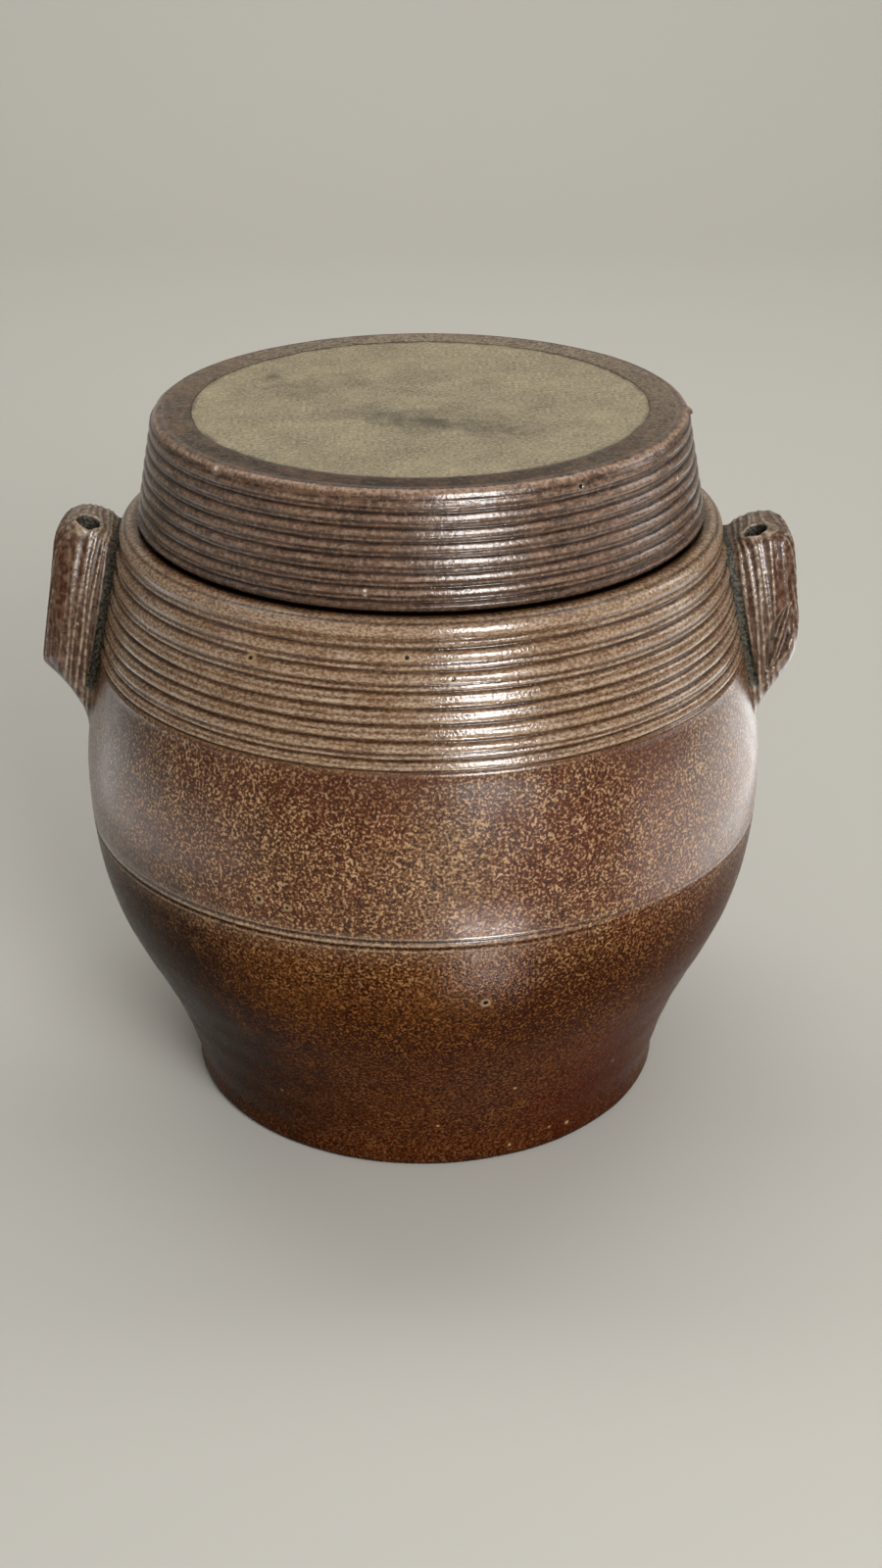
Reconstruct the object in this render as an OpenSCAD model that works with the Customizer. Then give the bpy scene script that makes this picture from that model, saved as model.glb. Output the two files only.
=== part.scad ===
// Salt-glazed stoneware confit pot with a loose cap lid and two pierced ears.
// Millimetres, +Z up. The origin is the middle of the foot, on the face it stands on.

/* [Pot] */
// Radius of the foot
foot_r = 79; // [72:0.5:86]
// Height of the upright band at the foot
foot_h = 6; // [4:0.5:10]
// Rounding of the foot's lower edge
foot_edge = 2.5; // [1:0.5:4]
// Angle from upright at which the wall leaves the foot
foot_lean = 13.5; // [8:0.5:20]
// Radius of the belly at its widest
belly_r = 110; // [102:1:120]
// Height of the widest part of the belly
belly_z = 112; // [100:1:122]
// Height where the curved belly runs into the straight shoulder
shoulder_z = 153; // [144:1:160]
// Angle from upright of the straight shoulder
shoulder_lean = 12.8; // [9:0.2:16]
// Height of the ledge that the shoulder ends in
ledge_z = 193.5; // [184:0.5:204]
// Radius of the shoulder at the ledge
shoulder_r = 94; // [92:0.5:98]
// Radius of the rolled lip round the ledge
lip_r = 3.5; // [2:0.5:4]
// Thickness of the thrown wall
wall = 7; // [5:0.5:9]
// Thickness of the floor
floor_t = 9; // [6:0.5:12]
// Radius of the corner between floor and wall, inside
floor_fillet = 14; // [8:1:20]

/* [Collar] */
// Thickness of the collar that the lid fits over
collar_wall = 7; // [5:0.5:9]
// Rounding of the collar's rim
rim_edge = 2; // [1:0.5:2.5]
// Thickness of clay under the ledge, where the collar stands
ledge_t = 12; // [9:0.5:15]

/* [Lid] */
// Radius of the lid at its top edge
lid_top_r = 82.5; // [80:0.5:85]
// Radius of the lid at the foot of its skirt
lid_foot_r = 88.8; // [87:0.2:89.8]
// Height of the lid from the foot of its skirt to its top
lid_h = 34; // [28:0.5:40]
// Thickness of the lid's skirt
lid_wall = 8; // [6:0.5:10]
// Thickness of the lid's flat top
lid_top_t = 8; // [6:0.5:10]
// Radius of the bare disc on the lid's top
disc_r = 70; // [60:0.5:76]
// Depth of the bare disc below the glazed ring
disc_step = 0.4; // [0.2:0.1:1]
// Rounding of the lid's outer edges
lid_edge = 2.5; // [1.5:0.5:3.5]
// Clearance between the collar and the lid, all round
lid_fit = 1.5; // [1:0.25:2.5]
// Gap between the ledge and the foot of the lid's skirt
lid_gap = 1.8; // [1:0.2:3]

/* [Throwing ridges] */
// Ridges on the shoulder
pot_ridges = 7; // [4:1:9]
// Ridges on the lid's skirt
lid_ridges = 7; // [4:1:9]
// Height of a ridge's crest above the creases beside it
ridge_rise = 0.8; // [0.4:0.1:1.2]
// How much wider the upper ridges are than the lower ones
ridge_bias = 0.18; // [0:0.02:0.3]
// Height of the two incised lines round the belly
belt_z = 99; // [90:1:110]
// Distance between the two incised lines
belt_gap = 3; // [2:0.5:5]
// Radius of the point that cut the incised lines
belt_cut = 0.6; // [0.4:0.1:1]

/* [Ears] */
// Width of an ear, across the pot's side
ear_w = 38; // [32:1:44]
// How far an ear stands out from the shoulder
ear_reach = 19; // [17:0.5:23]
// Length of an ear along the shoulder, from its crown to its lower corner
ear_l = 54; // [48:1:62]
// Length of the tail from the lower corner to the shoulder's line
tail_l = 16; // [12:1:20]
// Angle at which the tail leaves the lower corner, below level
tail_turn = 32; // [20:1:45]
// Angle at which the tail meets the wall, below level
tail_end = 56; // [46:1:66]
// Radius of the crown, seen from the side
crown_r = 28; // [24:1:40]
// Radius of the underside, seen along its slope
under_r = 30; // [26:1:40]
// Height of the crown's bend over the outer face
crown_drop = 13; // [10:1:22]
// How far the crown falls towards the pot
arm_drop = 5; // [3:0.5:7]
// Thickness of the arm over the furrow
arm_t = 2.5; // [1.5:0.5:4]
// Radius of the bulging outer face
face_r = 46; // [34:1:70]
// Rounding of an ear's upright outer edges
ear_edge = 7; // [5:0.5:8]
// Rounding of the lower corner
corner_r = 4; // [2:0.5:6]
// Width of the furrow between an ear and the shoulder
furrow_w = 4; // [3:0.25:4.5]
// Thickness of the web that bonds an ear to the pot between its furrows
web_t = 14; // [10:1:18]
// Gap that the luting slip fills between an ear and the pot
lute_gap = 0.15; // [0.1:0.05:0.3]
// Spacing of the ribs along an ear
rib_pitch = 2.8; // [2.4:0.1:3.6]
// Radius of a rib
rib_r = 1.3; // [1.2:0.1:1.6]
// How far a rib stands out of the ear's face
rib_rise = 0.5; // [0.3:0.1:0.7]
// Diameter of the hole through an ear for a cord
hole_d = 7; // [5:0.5:8]
// Distance from the shoulder to the middle of the hole
hole_u = 9.5; // [9:0.25:10.5]
// How far the hole sits towards the front of the ear
hole_front = 7; // [0:0.5:8]

/* [Hidden] */

$fn = 96;
turn_fn = 180;
curve_n = 14;
arc_n = 6;
ridge_n = 6;

// Shares of a curve's rise over which its end directions hold
foot_pull = 0.5;
belly_drop = 0.53;
belly_rise = 0.34;
shoulder_pull = 0.29;

// Depth to which an ear's blank reaches into the wall before the wall is cut from it
ear_root = 2 * wall;
// Power that sets how low on a ridge its crest lies: 1 is in the middle
ridge_sag = 0.6;
// Length by which cutting tools run past what they cut
over = 1;
// Angle on the corner inside the floor where the wall takes over, from level
fillet_end = -30;

shoulder_foot_r = shoulder_r + (ledge_z - shoulder_z) * tan(shoulder_lean);
lip_foot_r = shoulder_r + lip_r * tan(shoulder_lean);
lid_foot_z = ledge_z + lid_gap;
lid_top_z = lid_foot_z + lid_h;
rim_z = lid_top_z - lid_top_t;
lid_slope = (lid_foot_r - lid_top_r) / lid_h;
// Length of an ear's blank, from its crown to past the tip of its tail
tongue_l = ear_l + tail_l + lip_r;
under_lean = atan2(tail_l, ear_reach);

// Cubic curve through four control points, and arcs, as lists of points
function cubic(p, t) =
    pow(1 - t, 3) * p[0] + 3 * pow(1 - t, 2) * t * p[1] + 3 * (1 - t) * t * t * p[2] + t * t * t * p[3];
function curve(p, n = curve_n) = [for (i = [0:n]) cubic(p, i / n)];
function arc(c, r, a0, a1, n = arc_n) =
    [for (i = [0:n]) let (a = a0 + (a1 - a0) * i / n) c + r * [cos(a), sin(a)]];

// Place of crease i out of n up a ridged stretch, with the uppermost ridges the widest
function spread(i, n) = i / n * (1 - ridge_bias * (1 - i / n));

// Swelling ridges with creases between them, up an outline from one point to another
function ridges(low, high, n) =
    let (along = (high - low) / norm(high - low),
         out = [along[1], -along[0]])
    [for (i = [0:n - 1])
        let (p = low + (high - low) * spread(i, n),
             q = low + (high - low) * spread(i + 1, n))
        for (k = [0:ridge_n])
            let (t = k / ridge_n)
            if (k < ridge_n || i == n - 1)
                p + (q - p) * t - out * ridge_rise * (1 - sin(180 * pow(t, ridge_sag)))];

// Radius of the lid's skirt at a height, outside and inside
function skirt_r(z) = lid_top_r + lid_slope * (lid_top_z - z);
function skirt_in_r(z) = skirt_r(z) - lid_wall;
// Radius of the collar at a height, outside and inside
function collar_r(z) = skirt_in_r(z) - lid_fit;
function collar_in_r(z) = collar_r(z) - collar_wall;

// Wall curve of the pot from the foot to the shoulder, a distance inside its outer face
function wall_curve(inset = 0) =
    let (foot = [foot_r - inset, foot_h],
         belly = [belly_r - inset, belly_z],
         top = [shoulder_foot_r - inset, shoulder_z],
         rise = belly_z - foot_h,
         climb = shoulder_z - belly_z)
    concat(
        curve([foot,
               foot + foot_pull * rise * [sin(foot_lean), cos(foot_lean)],
               belly - [0, belly_drop * rise],
               belly]),
        curve([belly,
               belly + [0, belly_rise * climb],
               top + shoulder_pull * climb * [sin(shoulder_lean), -cos(shoulder_lean)],
               top]));

// Radius of the pot's outer face at a height between the foot and the shoulder
function wall_r(z) = lookup(z, [for (p = wall_curve()) [p[1], p[0]]]);

// Outer outline from the foot to the shoulder, and round the lip over it, for the pot and the ears' seat
function belly_outline(grow = 0) =
    concat(arc([foot_r - foot_edge, foot_edge], foot_edge + grow, -90, 0), wall_curve(-grow));
function lip_outline(grow = 0) = arc([lip_foot_r - lip_r, ledge_z - lip_r], lip_r + grow, 0, 90);

// Hollow of the pot, from its floor to the mouth
function pot_hollow() =
    let (roof_z = ledge_z - ledge_t,
         corner = [foot_r - wall - floor_fillet, floor_t + floor_fillet])
    concat(
        arc(corner, floor_fillet, -90, fillet_end),
        [for (p = wall_curve(wall)) if (p[1] > floor_t + 2 * floor_fillet) p],
        [[shoulder_r - wall + (ledge_z - roof_z) * tan(shoulder_lean), roof_z],
         [collar_in_r(ledge_z), ledge_z]]);

module pot_section() {
    difference() {
        polygon(concat(
            [[0, 0]],
            belly_outline(),
            ridges([shoulder_foot_r, shoulder_z], [lip_foot_r, ledge_z - lip_r], pot_ridges),
            lip_outline(),
            [[collar_r(ledge_z), ledge_z]],
            arc([collar_r(rim_z) - rim_edge, rim_z - rim_edge], rim_edge, 0, 90),
            arc([collar_in_r(rim_z) + rim_edge, rim_z - rim_edge], rim_edge, 90, 180),
            [for (i = [len(pot_hollow()) - 1:-1:0]) pot_hollow()[i]],
            [[0, floor_t]]));
        for (z = [belt_z - belt_gap / 2, belt_z + belt_gap / 2]) {
            translate([wall_r(z), z]) circle(belt_cut);
        }
    }
}

module pot_body() {
    color("#7a5237") rotate_extrude($fn = turn_fn) pot_section();
}

module lid_section() {
    top_in = [lid_top_r - lid_edge, lid_top_z - lid_edge];
    foot_in = [skirt_r(lid_foot_z) - lid_edge, lid_foot_z + lid_edge];
    polygon(concat(
        [[0, rim_z],
         [skirt_in_r(rim_z), rim_z],
         [skirt_in_r(lid_foot_z), lid_foot_z]],
        arc(foot_in, lid_edge, -90, 0),
        ridges(foot_in + [lid_edge, 0], top_in + [lid_edge, 0], lid_ridges),
        arc(top_in, lid_edge, 0, 90),
        [[disc_r, lid_top_z],
         [disc_r - disc_step, lid_top_z - disc_step],
         [0, lid_top_z - disc_step]]));
}

module lid() {
    color("#54423a") rotate_extrude($fn = turn_fn) lid_section();
}

// Turns the ear's own axes into the pot's: u out of the shoulder, v along the side, w up the slope
module on_shoulder() {
    translate([shoulder_r, 0, ledge_z]) rotate([0, -shoulder_lean, 0]) children();
}

// Outline of an ear seen along the pot's side, in u and w
function ear_outline() =
    let (corner = arc([ear_reach - corner_r, corner_r - ear_l], corner_r, 0, tail_turn - 90),
         start = corner[arc_n],
         tip = [0, -ear_l - tail_l],
         pull = norm(tip - start) / 3,
         out_way = -[cos(tail_turn), sin(tail_turn)],
         in_way = -[cos(tail_end), sin(tail_end)])
    concat(
        [[-ear_root, -arm_drop]],
        curve([[0, -arm_drop], [ear_reach / 3, 0], [ear_reach, 0], [ear_reach, -crown_drop]]),
        corner,
        curve([start, start + pull * out_way, tip - pull * in_way, tip]),
        [tip + in_way * ear_root / cos(tail_end)]);

// Cross-section of an ear's strap, in u and v
module strap_section() {
    half = ear_w / 2;
    middle_u = ear_reach - face_r;
    edge_a = asin((half - ear_edge) / (face_r - ear_edge));
    edge_u = middle_u + (face_r - ear_edge) * cos(edge_a);
    face_half = face_r * sin(edge_a);
    translate([-ear_root, -half]) square([ear_root + edge_u, ear_w]);
    intersection() {
        translate([middle_u, 0]) circle(face_r);
        translate([0, -face_half]) square([ear_reach, 2 * face_half]);
    }
    for (side = [-1, 1]) {
        translate([edge_u, side * (half - ear_edge)]) circle(ear_edge);
        for (u = [furrow_w + rib_pitch / 2:rib_pitch:edge_u]) {
            translate([u, side * (half + rib_rise - rib_r)]) circle(rib_r);
        }
    }
    rib_a = rib_pitch / face_r * 180 / PI;
    ribs = floor(edge_a / rib_a);
    for (i = [-ribs:ribs]) {
        translate([middle_u, 0]) rotate(i * rib_a)
            translate([face_r + rib_rise - rib_r, 0]) circle(rib_r);
    }
}

// Section that rounds an ear's crown from front to back, in v and w
module crown_section() {
    translate([0, -crown_r]) circle(crown_r);
    translate([-crown_r, -tongue_l]) square([2 * crown_r, tongue_l - crown_r]);
}

// Section that rounds an ear's underside from front to back, square to its slope
module under_section() {
    translate([0, under_r]) circle(under_r);
    translate([-under_r, under_r]) square([2 * under_r, tongue_l]);
}

// Furrow between an ear and the shoulder, in u and w
module furrow_section() {
    top = -arm_drop - arm_t - furrow_w;
    foot = furrow_w - ear_l;
    translate([-ear_root, foot]) square([ear_root + furrow_w, top - foot]);
    for (w = [top, foot]) {
        translate([0, w]) circle(furrow_w);
    }
}

module ear() {
    difference() {
        on_shoulder() {
            difference() {
                intersection() {
                    translate([0, 0, -tongue_l]) linear_extrude(tongue_l + over) strap_section();
                    rotate([90, 0, 0]) linear_extrude(2 * ear_w, center = true) polygon(ear_outline());
                    rotate([90, 0, 90]) linear_extrude(4 * ear_reach, center = true) crown_section();
                    translate([0, 0, -ear_l - tail_l]) rotate([0, -under_lean, 0])
                        rotate([90, 0, 90]) linear_extrude(4 * ear_l, center = true) under_section();
                }
                for (side = [-1, 1]) {
                    translate([0, side * (web_t + ear_w) / 2, 0]) rotate([90, 0, 0])
                        linear_extrude(ear_w, center = true) furrow_section();
                }
                translate([hole_u, -hole_front, -tongue_l]) cylinder(h = tongue_l + over, d = hole_d);
            }
        }
        rotate_extrude($fn = turn_fn)
            polygon(concat([[0, 0]], belly_outline(lute_gap), lip_outline(lute_gap),
                           [[0, ledge_z + lute_gap]]));
    }
}

module right_ear() {
    color("#6a4434") ear();
}

module left_ear() {
    color("#6a4434") mirror([1, 0, 0]) ear();
}

pot_body();
lid();
left_ear();
right_ear();
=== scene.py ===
import math

import bpy
import numpy as np
from mathutils import Matrix, Vector


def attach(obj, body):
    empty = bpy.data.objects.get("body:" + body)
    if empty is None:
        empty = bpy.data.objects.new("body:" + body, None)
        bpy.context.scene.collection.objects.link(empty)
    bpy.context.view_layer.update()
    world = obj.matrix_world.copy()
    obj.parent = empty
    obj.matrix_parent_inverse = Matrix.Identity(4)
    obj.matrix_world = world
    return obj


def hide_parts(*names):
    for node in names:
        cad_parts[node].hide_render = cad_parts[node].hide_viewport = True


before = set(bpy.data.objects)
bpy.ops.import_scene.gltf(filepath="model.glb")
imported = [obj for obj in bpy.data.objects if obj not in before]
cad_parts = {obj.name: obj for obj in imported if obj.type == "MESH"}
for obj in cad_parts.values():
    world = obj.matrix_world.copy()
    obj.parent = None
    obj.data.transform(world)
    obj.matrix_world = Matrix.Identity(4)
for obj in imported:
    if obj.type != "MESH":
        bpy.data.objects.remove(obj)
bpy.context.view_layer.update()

# Lengths are in millimetres up to the point where a mesh is made, and angles in degrees
MM = 0.001

# Sizes of the pot, as its solids have them
FOOT_R = 79.0
FOOT_H = 6.0
FOOT_EDGE = 2.5
FOOT_LEAN = 13.5
BELLY_R = 110.0
BELLY_Z = 112.0
SHOULDER_Z = 153.0
SHOULDER_LEAN = 12.8
SHOULDER_R = 94.0
LEDGE_Z = 193.5
LIP_R = 3.5
# The lip is rolled up to just under the lid's foot
LIP_Z = 194.6
WALL = 7.0
FLOOR_T = 9.0
FLOOR_FILLET = 14.0
LEDGE_T = 12.0
COLLAR_WALL = 7.0
RIM_EDGE = 2.0
# How far the wall's curve is pulled at the foot, the belly and the shoulder, as shares of its rise
FOOT_PULL = 0.5
BELLY_DROP = 0.53
BELLY_RISE = 0.34
SHOULDER_PULL = 0.29
# The standing ring, the turning rings inside it and the wear on the foot's edge
STAND_W = 8.0
UNDER_RISE = 0.2
UNDER_STEP = 9.0
FOOT_WEAR = 0.35
# How far the wall is out of true, the throwing rings low on it, where they end and over what height they
# fade, and the height between the mesh's own rings
WALL_WOBBLE = 0.35
RING_RISE = 0.1
RING_STEP = 13.0
RINGS_END = 95
RINGS_FADE = 60
WALL_STEP = 2.2
# A notch round the lip, in degrees up its curve, and the waves on the inside's floor
NOTCH_AT = 60
NOTCH_HALF = 9
NOTCH_DEPTH = 0.2
FLOOR_WAVE = 0.3

# Sizes of the lid
LID_TOP_R = 82.5
LID_FOOT_R = 88.8
LID_FOOT_Z = 195.3
LID_TOP_Z = 229.3
LID_WALL = 8.0
LID_TOP_T = 8.0
LID_FIT = 1.5
LID_EDGE = 2.5
DISC_R = 70.0
DISC_STEP = 0.4
DISC_DISH = 0.15
# Stains on the disc: place from its middle, reach to the side and to the back, and how dark
STAINS = ((-16, -12, 17, 9, 0.65), (8, -19, 18, 9, 0.6), (27, -27, 15, 8, 0.4), (-47, 31, 1.8, 2.0, 1.0),
          (-30, 22, 30, 14, 0.3))
# Degrees round from the front, and how thin the glaze of the top ring is there
RING_THIN = ((-180, 0.95), (-100, 0.45), (-40, 0.1), (0, 0), (40, 0.25), (100, 0.7), (180, 0.95))
# Lumps of glaze and a knob on the lid's edge: degrees round from the front, half width in degrees, rise
LUMPS_AT = 57
LUMPS_HALF = 9
LUMPS_RISE = 0.7
KNOB_AT = 87
KNOB_HALF = 0.9
KNOB_RISE = 1.2

# Throwing ridges: how far they stand out and the heights of the creases between them
POT_RISE = 1.3
LID_RISE = 1.0
POT_CREASES = (153.0, 156.5, 161.4, 166.1, 170.7, 175.6, 181.4, 187.5, LIP_Z - LIP_R)
LID_CREASES = (197.8, 198.7, 202.6, 206.7, 210.8, 214.8, 218.9, 223.1, 226.8)
# A ridge at shares of its width from its lower crease: how high it stands, how pale its glaze is, and how
# dark: pooled glaze and painted shade in the creases and dips. Some of the pot's have a bead under a round
# crest, the lid's a thin one.
PLAIN = ((0.0, 0.0, 0.0, 1.0), (0.07, 0.36, 0.0, 0.55), (0.16, 0.7, 0.2, 0.15), (0.26, 0.92, 0.5, 0.0),
         (0.36, 1.0, 0.75, 0.0), (0.46, 0.97, 0.4, 0.0), (0.55, 0.88, 0.1, 0.3), (0.63, 0.86, 0.2, 0.15),
         (0.72, 0.84, 0.5, 0.0), (0.8, 0.74, 0.55, 0.0), (0.88, 0.5, 0.0, 0.2), (0.95, 0.2, 0.0, 0.7))
BEADED = ((0.0, 0.0, 0.0, 1.0), (0.06, 0.3, 0.2, 0.5), (0.13, 0.5, 0.75, 0.0), (0.2, 0.5, 0.5, 0.0),
          (0.27, 0.38, 0.0, 0.6), (0.33, 0.42, 0.0, 0.8), (0.4, 0.7, 0.0, 0.2), (0.48, 0.93, 0.5, 0.0),
          (0.56, 1.0, 0.7, 0.0), (0.65, 0.98, 0.4, 0.0), (0.74, 0.9, 0.35, 0.0), (0.82, 0.74, 0.4, 0.0),
          (0.89, 0.48, 0.0, 0.2), (0.95, 0.2, 0.0, 0.7))
LIP_BEAD = ((0.0, 0.0, 0.0, 1.0), (0.14, 0.3, 0.1, 0.5), (0.28, 0.48, 0.6, 0.0), (0.42, 0.46, 0.3, 0.1),
            (0.56, 0.42, 0.0, 0.6), (0.7, 0.62, 0.0, 0.3), (0.85, 0.86, 0.1, 0.1))
LID_FALL = ((0.0, 1.0, 0.3, 0.0), (0.4, 0.75, 0.0, 0.1), (0.75, 0.3, 0.0, 0.6))
LID_RIDGE = ((0.0, 0.0, 0.0, 1.0), (0.08, 0.32, 0.0, 0.55), (0.16, 0.46, 0.35, 0.1), (0.23, 0.46, 0.2, 0.2),
             (0.31, 0.44, 0.0, 0.55), (0.39, 0.64, 0.0, 0.35), (0.47, 0.92, 0.15, 0.05),
             (0.54, 1.0, 0.4, 0.0), (0.63, 0.95, 0.5, 0.0), (0.72, 0.87, 0.45, 0.0),
             (0.81, 0.77, 0.2, 0.0), (0.89, 0.6, 0.0, 0.2), (0.95, 0.28, 0.0, 0.7))
LID_TOP = LID_RIDGE[:9] + ((0.74, 0.94, 0.3, 0.0), (0.85, 0.94, 0.1, 0.05), (0.94, 0.95, 0.0, 0.2))
POT_RIDGES = (PLAIN, BEADED, PLAIN, PLAIN, PLAIN, BEADED, BEADED, LIP_BEAD)
LID_RIDGES = (LID_FALL,) + 6 * (LID_RIDGE,) + (LID_TOP,)

# The two incised lines
BELT_Z = 98.0
BELT_TILT = 2.4
BELT_GAP = 2.3
BELT_DEPTH = 0.45
BELT_HALF = 0.7
# How far the mesh is finer beside a line, over what height the tilt dies out, and the burr beside a line
BELT_FINE = 1.4
BELT_BLEND = 12
BURR_OFF = 0.95
BURR_HALF = 0.35
BURR_RISE = 0.05
# Degrees round from the front, and how much of the lines shows there
BELT_SHOWS = ((-180, 1), (8, 1), (33, 0.15), (75, 0.15), (100, 1), (180, 1))

# Ears, in their own axes: u out of the shoulder, v along the pot's side, w up the slope
EAR_W = 38.0
EAR_REACH = 18.5
EAR_L = 54.0
EAR_TAIL = 16.0
EAR_FACE_R = 46.0
EAR_CROWN_R = 28.0
EAR_CROWN_DROP = 13.0
EAR_HOLE_R = 3.5
EAR_HOLE_U = 9.5
EAR_HOLE_V = -7.0
FURROW_U = 0.7
WEB = 32.0
EAR_LOW_R = 25.0
EAR_CORNER_R = 4.0
# Degrees under the level at which the tail leaves the corner and comes to the wall
TAIL_LEAVES = 32
TAIL_LANDS = 56
# The furrow's middle and half length up the slope, and the height above which the hole's rim is pinched up
FURROW_MID = -27
FURROW_HALF = 25
HOLE_TOP = -12
# Ribs: half width, how near the hole they bend round it, and the outer face's own height and spacing
RIB_HALF = 0.42
HOLE_BEND = 4
FACE_RIB = 0.4
FACE_STEP = 2.8
# The ear's front begins here along the pot's side, for the marks that its back doesn't have
EAR_FRONT = -4
# The block of cells that an ear is cut from, and their size
EAR_LOW = (-9.0, -21.6, -80.0)
EAR_HIGH = (24.0, 21.6, 3.0)
EAR_CELL = 0.45

# Pits in the pot's glaze: degrees round from the front, height, radius
POT_PITS = ((-29.9, 180.8, 1.1), (-2.1, 185.3, 0.8), (5.5, 179.2, 0.9), (-25.7, 110.3, 1.0),
            (-20.9, 109.4, 0.7), (51.0, 136.8, 0.8), (10.1, 78.0, 1.0), (5.1, 127.9, 0.6),
            (70.0, 82.0, 0.9), (128.0, 120.0, 1.0), (-118.0, 70.0, 1.1), (-150.0, 132.0, 0.8),
            (171.0, 60.0, 1.0))

# Pale specks of grog and chips, the same way, and marks on the lid
POT_SPECKS = ((19.1, 32.4, 0.7), (35.8, 6.7, 0.8), (20.2, 5.1, 0.6), (30.6, 7.7, 0.6), (-4.8, 105.2, 0.8),
              (-56.5, 177.5, 1.2), (-57.9, 184.8, 0.8), (12.4, 173.7, 0.7), (13.1, 131.0, 0.6),
              (-33.0, 24.0, 0.6), (3.0, 18.0, 0.6), (46.0, 27.0, 0.7), (-140.0, 30.0, 0.8),
              (98.0, 14.0, 0.7))
LID_PITS = ((33.2, 226.0, 0.8), (-71.0, 214.0, 0.6), (118.0, 208.0, 0.8))
LID_SPECKS = ((-44.7, 228.6, 1.3), (-9.9, 200.2, 0.5), (-9.9, 201.6, 0.5), (64.0, 217.0, 0.7))
# Where a spot's rim begins and ends and its core is full, by its radius
RIM_OUT = 2.2
RIM_IN = 1.1
CORE = 0.6

# Flashes in the pot's glaze, and painted light and shade: degrees round from the front, height, radius,
# colour and how much of it shows
# The dark ones low on the sides, at -72, 82, -58 and 62 degrees, are painted shade, and the one at -62
# degrees is partly a dark patch and partly painted shade. The pale one at 3 degrees is a painted sheen and
# the one at 2 degrees is painted light on the front.
FLASHES_AND_PAINTED_LIGHT = ((22, 127, 30, "#54240a", 0.9), (40, 112, 24, "#5a2a10", 0.6), (-62, 146, 26, "#2f1a0c", 0.8),
           (-38, 148, 20, "#4f260e", 0.6), (-14, 141, 18, "#4f260e", 0.6), (3, 122, 20, "#85664a", 0.35),
           (-22, 85, 24, "#613a16", 0.5), (2, 84, 24, "#5e3818", 0.6), (-72, 78, 36, "#1c0901", 0.85),
           (82, 78, 34, "#361504", 0.7), (40, 30, 34, "#4c190b", 0.6), (12, 32, 22, "#3d241c", 0.5),
           (-58, 36, 36, "#240d03", 0.8), (62, 52, 28, "#431602", 0.6),
           (108, 128, 32, "#5c290c", 0.7), (165, 118, 36, "#7d5d3f", 0.5), (-125, 92, 32, "#613a16", 0.5))

# Painted shade low on the sides, the same way, so dark that the glaze's flecks hardly show
PAINTED_SIDE_SHADE = ((-54, 74, 44, "#1a0800", 0.7), (-46, 34, 44, "#1c0900", 0.7), (64, 62, 44, "#361000", 0.6),
            (44, 16, 30, "#3a1002", 0.5))
# How ragged a flash is, and where it begins and is full, by its radius
FLASH_RAG = 1.2
FLASH_OUT = 1.9
FLASH_IN = 0.8

# Heights between which the glaze turns into the upper wall's, the foot's, the red one and the ridges' own
UPPER_GLAZE = (73, 111)
FOOT_GLAZE = (72, 24)
UNDER_RIDGES = (134, 150)
RIDGED = (151, 154)

# A usual index of refraction for salt glaze, slip glaze and fired clay
FIRED_IOR = 1.5

# Places in the turned pieces' lists of materials: both have a glazed outside and bare seats
OUTSIDE = 0
POT_IN = 1
LID_DISC = 1
BARE = 2
POT_LOW = 3
LID_RING = 3

# Points round the turn
TURN = 360
theta = np.linspace(-math.pi, math.pi, TURN, endpoint=False)
LEAN_TAN = math.tan(math.radians(SHOULDER_LEAN))
LEAN_SIN = math.sin(math.radians(SHOULDER_LEAN))
LEAN_COS = math.cos(math.radians(SHOULDER_LEAN))
RIM_Z = LID_TOP_Z - LID_TOP_T


def wander(seed, first, last, size):
    """A closed curve of small ups and downs round the pot, from waves with seeded heights."""
    draw = np.random.default_rng(seed)
    waves = np.arange(first, last + 1)[:, None]
    tall = draw.normal(size=waves.shape) / np.sqrt(waves)
    turn = draw.uniform(0, 2 * math.pi, size=waves.shape)
    line = (tall * np.cos(waves * theta + turn)).sum(0)
    return size * line / np.abs(line).max()


def cubic(points, count):
    """Points along a curve from its first point to its last, pulled towards the two between them."""
    t = np.linspace(0, 1, count)[:, None]
    a, b, c, d = (np.array(p, float) for p in points)
    return (1 - t) ** 3 * a + 3 * (1 - t) ** 2 * t * b + 3 * (1 - t) * t * t * c + t ** 3 * d


def arc(centre, radius, start, end, count):
    """Points along part of a circle."""
    a = np.radians(np.linspace(start, end, count))[:, None]
    return np.array(centre, float) + radius * np.hstack([np.cos(a), np.sin(a)])


def wall_line(inset, count=60):
    """Radius and height along the wall from the foot to the shoulder, a distance inside its outer face."""
    foot = np.array([FOOT_R - inset, FOOT_H])
    belly = np.array([BELLY_R - inset, BELLY_Z])
    top = np.array([SHOULDER_R + (LEDGE_Z - SHOULDER_Z) * LEAN_TAN - inset, SHOULDER_Z])
    lean = math.radians(FOOT_LEAN)
    rise = BELLY_Z - FOOT_H
    climb = SHOULDER_Z - BELLY_Z
    low = cubic([foot, foot + FOOT_PULL * rise * np.array([math.sin(lean), math.cos(lean)]),
                 belly - [0, BELLY_DROP * rise], belly], count)
    high = cubic([belly, belly + [0, BELLY_RISE * climb],
                  top + SHOULDER_PULL * climb * np.array([LEAN_SIN, -LEAN_COS]), top], count)
    return np.vstack([low, high[1:]])


outer = wall_line(0)


def outer_r(z):
    """Radius of the pot's outer face at a height, without its ridges."""
    return np.where(z > SHOULDER_Z, shoulder_r(z), np.interp(z, outer[:, 1], outer[:, 0]))


def shoulder_r(z):
    """Radius of the leaning shoulder at a height."""
    return SHOULDER_R + (LEDGE_Z - z) * LEAN_TAN


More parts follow.
